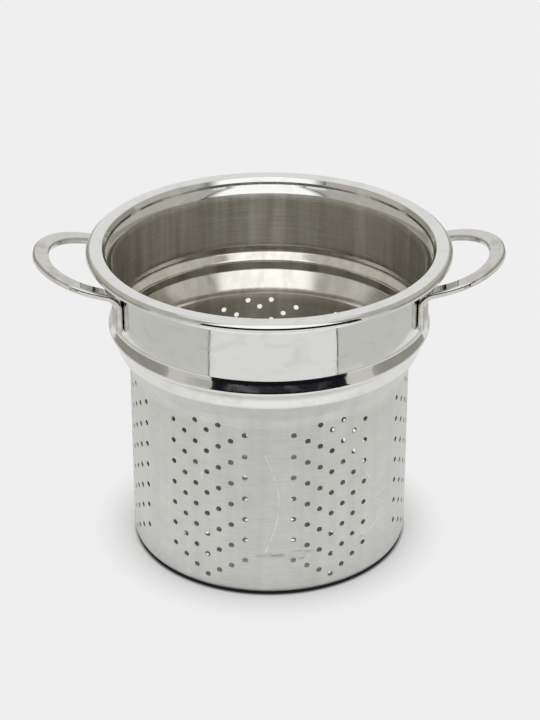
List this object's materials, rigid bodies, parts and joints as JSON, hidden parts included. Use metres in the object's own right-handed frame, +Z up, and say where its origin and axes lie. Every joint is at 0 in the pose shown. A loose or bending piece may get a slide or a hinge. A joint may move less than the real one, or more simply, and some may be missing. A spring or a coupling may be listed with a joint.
{
  "type": "pasta pot strainer insert",
  "caption": "Deep stainless strainer insert for a stock or pasta pot, with a perforated basket, a polished collar with a lid seat and rolled rim, and welded loop handles.",
  "frame": {"origin": "middle of the underside of the base", "axes": "+Z up along the axis of the basket, X through the two handles, -Y towards the front in the picture"},
  "size_m": [0.3414, 0.2648, 0.235],
  "materials": {
    "drawn_stainless": "stainless sheet, satin basket, mirror-polished collar and rim, brushed inside",
    "polished_stainless": "mirror-polished stainless bar",
    "weld_metal": "resistance weld, bare stainless"
  },
  "bodies": {
    "root": {"strainer_shell": "drawn_stainless", "left_handle": "polished_stainless", "right_handle": "polished_stainless", "left_handle_welds": "weld_metal", "right_handle_welds": "weld_metal"}
  },
  "joints": []
}
